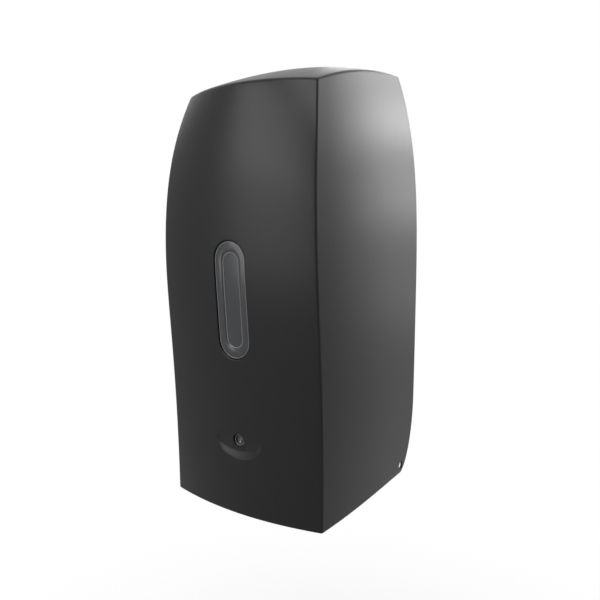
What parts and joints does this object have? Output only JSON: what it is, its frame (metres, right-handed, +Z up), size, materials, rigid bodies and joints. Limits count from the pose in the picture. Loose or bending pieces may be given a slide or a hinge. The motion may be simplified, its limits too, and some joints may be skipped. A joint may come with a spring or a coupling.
{
  "type": "wall mounted soap dispenser",
  "caption": "Tall barrel-shaped wall soap dispenser: a hinged cover with a sight window and indicator over a refillable tank, geared pump, battery drawer and hand sensor.",
  "frame": {"origin": "middle of the back plate's wall face, 140 mm above the underside, in the plane of the wall", "axes": "+X to the viewer's right, +Y into the wall, +Z up"},
  "size_m": [0.1168, 0.138, 0.2848],
  "materials": {
    "cover_black": "fine satin texture",
    "smoked_plastic": "polished, smoked and see-through",
    "clear_plastic": "polished, clear",
    "lock_metal": "plated",
    "steel": "ground",
    "chassis_grey": "fine matt texture",
    "tank_plastic": "natural, see-through",
    "white_plastic": "moulded",
    "gear_plastic": "moulded, slightly waxy",
    "seal_rubber": "matt",
    "silicone": "milky",
    "dark_plastic": "moulded",
    "board_green": "solder resist",
    "cell_jacket": "printed metal jacket, no print shown"
  },
  "bodies": {
    "chassis": {"chassis": "chassis_grey", "hinge_pin_left": "steel", "hinge_pin_right": "steel", "tank_socket": "white_plastic", "socket_seal": "seal_rubber", "inlet_tube": "silicone", "outlet_tube": "silicone", "nozzle": "white_plastic", "nozzle_valve": "silicone", "pump_housing": "white_plastic", "pump_cover": "white_plastic", "idler_pin": "steel", "gearbox_housing": "dark_plastic", "gearbox_plate": "dark_plastic", "compound_axle": "steel", "motor": "lock_metal", "battery_housing": "dark_plastic", "board_carrier": "dark_plastic", "control_board": "board_green", "indicator_led": "clear_plastic", "switch_body": "steel", "sensor_board": "board_green", "ir_emitter": "smoked_plastic", "ir_receiver": "smoked_plastic", "sensor_window": "smoked_plastic"},
    "cover": {"cover": "cover_black", "sight_window": "smoked_plastic", "indicator_lens": "clear_plastic", "lock_body": "lock_metal"},
    "lock": {"lock_barrel": "lock_metal", "lock_cam": "lock_metal"},
    "tank": {"tank": "tank_plastic"},
    "tank_lid": {"tank_lid": "white_plastic", "tank_lid_seal": "seal_rubber"},
    "pump_rotor": {"pump_drive_gear": "gear_plastic", "pump_shaft": "steel", "final_gear": "gear_plastic"},
    "pump_idler": {"pump_idler_gear": "gear_plastic"},
    "compound": {"compound_gear": "gear_plastic"},
    "motor_rotor": {"motor_pinion": "gear_plastic", "motor_shaft": "steel"},
    "battery_drawer": {"battery_drawer": "dark_plastic", "contact_strip_lower": "steel", "contact_strip_upper": "steel", "cell_1": "cell_jacket", "cell_2": "cell_jacket", "cell_3": "cell_jacket", "cell_4": "cell_jacket"},
    "power_switch": {"switch_slider": "dark_plastic"}
  },
  "joints": [
    {"name": "cover_hinge", "type": "hinge", "parent": "chassis", "child": "cover", "pos_m": [0, -0.0205, -0.1342], "axis": [1, 0, 0], "range_deg": [0, 95]},
    {"name": "lock_turn", "type": "hinge", "parent": "cover", "child": "lock", "pos_m": [0, -0.024, 0.13], "axis": [0, 0, 1], "range_deg": [0, 90]},
    {"name": "tank_lift", "type": "slide", "parent": "chassis", "child": "tank", "axis": [0, 0, 1], "range_m": [0, 0.01]},
    {"name": "tank_lid_lift", "type": "slide", "parent": "tank", "child": "tank_lid", "axis": [0, 0, 1], "range_m": [0, 0.01]},
    {"name": "pump_spin", "type": "hinge", "parent": "chassis", "child": "pump_rotor", "pos_m": [0.0075, -0.07, -0.095], "axis": [0, 1, 0], "continuous": true},
    {"name": "idler_spin", "type": "hinge", "parent": "chassis", "child": "pump_idler", "pos_m": [-0.0075, -0.075, -0.095], "axis": [0, 1, 0], "continuous": true},
    {"name": "compound_spin", "type": "hinge", "parent": "chassis", "child": "compound", "pos_m": [-0.0171, -0.058, -0.08137], "axis": [0, 1, 0], "continuous": true},
    {"name": "motor_spin", "type": "hinge", "parent": "chassis", "child": "motor_rotor", "pos_m": [-0.02686, -0.05, -0.10052], "axis": [0, 1, 0], "continuous": true},
    {"name": "battery_slide", "type": "slide", "parent": "chassis", "child": "battery_drawer", "axis": [0, -1, 0], "range_m": [0, 0.04]},
    {"name": "switch_slide", "type": "slide", "parent": "chassis", "child": "power_switch", "axis": [1, 0, 0], "range_m": [0, 0.003]}
  ],
  "couplings": [
    {"joint": "idler_spin", "follows": "pump_spin", "ratio": -1},
    {"joint": "compound_spin", "follows": "pump_spin", "ratio": -2.75},
    {"joint": "motor_spin", "follows": "pump_spin", "ratio": 9.075}
  ]
}
